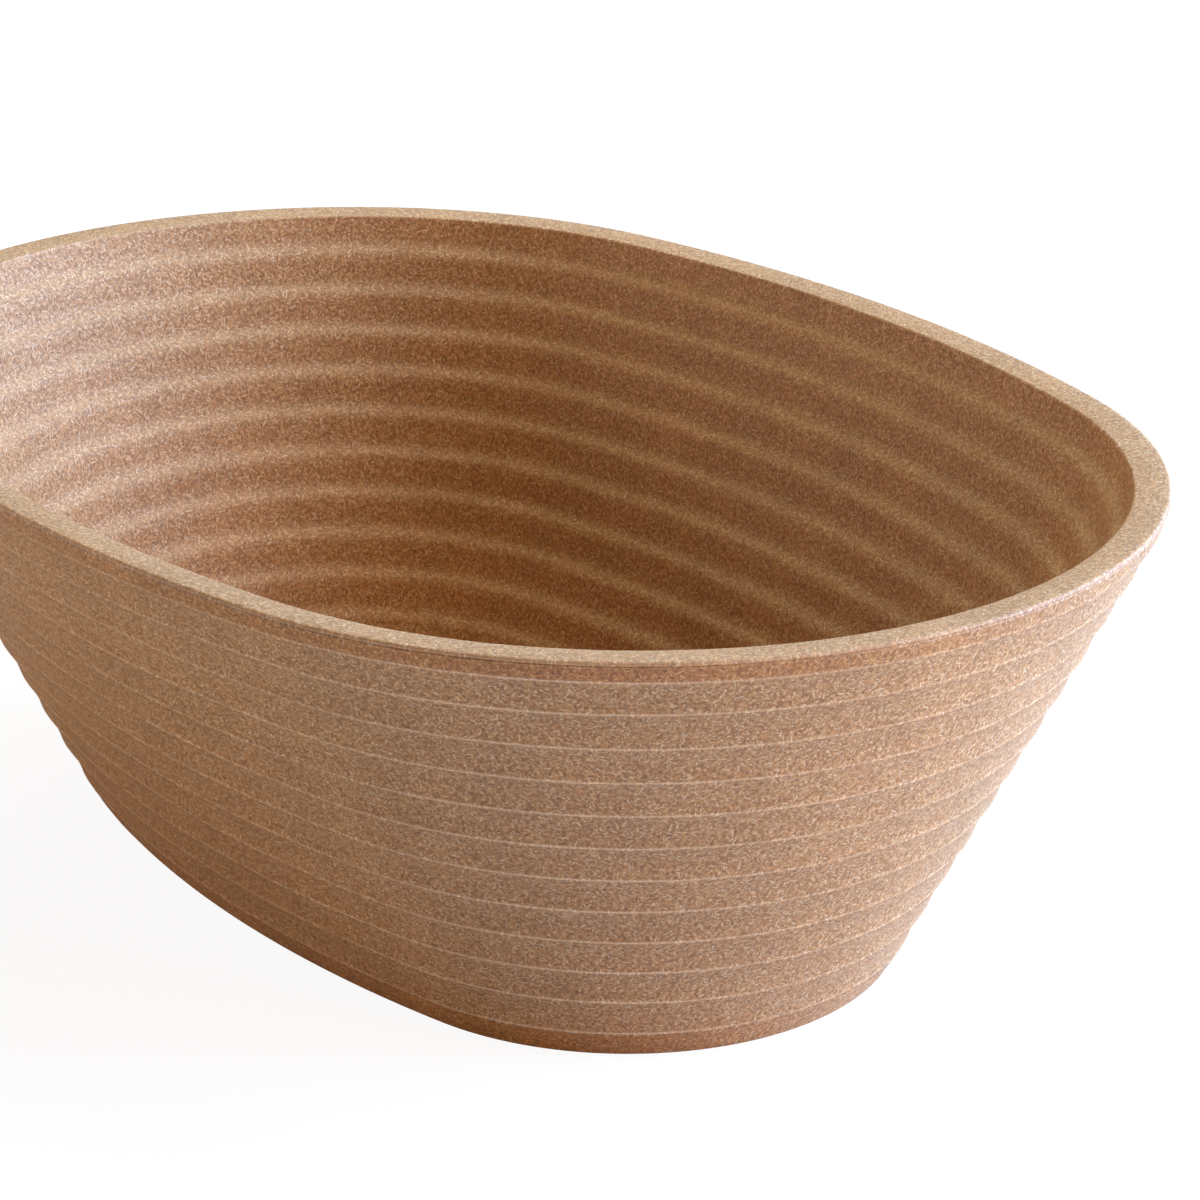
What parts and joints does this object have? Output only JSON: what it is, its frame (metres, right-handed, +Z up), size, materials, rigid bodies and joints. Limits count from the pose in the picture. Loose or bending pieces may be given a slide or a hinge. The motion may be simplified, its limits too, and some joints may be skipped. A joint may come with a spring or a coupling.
{
  "type": "proofing basket",
  "caption": "Oval bowl-shaped proofing basket with a leaning wall, banded outside and ridged inside, that shapes bread dough while it rises.",
  "frame": {"origin": "middle of the flat underside", "axes": "+X along the length, +Y across the width, +Z up through the open rim"},
  "size_m": [0.2786, 0.1984, 0.09],
  "materials": {
    "wood_fibre_composite": "moulded wood-fibre composite, matte, with fine pale fibre flecks"
  },
  "bodies": {
    "root": {"basket_shell": "wood_fibre_composite"}
  },
  "joints": []
}
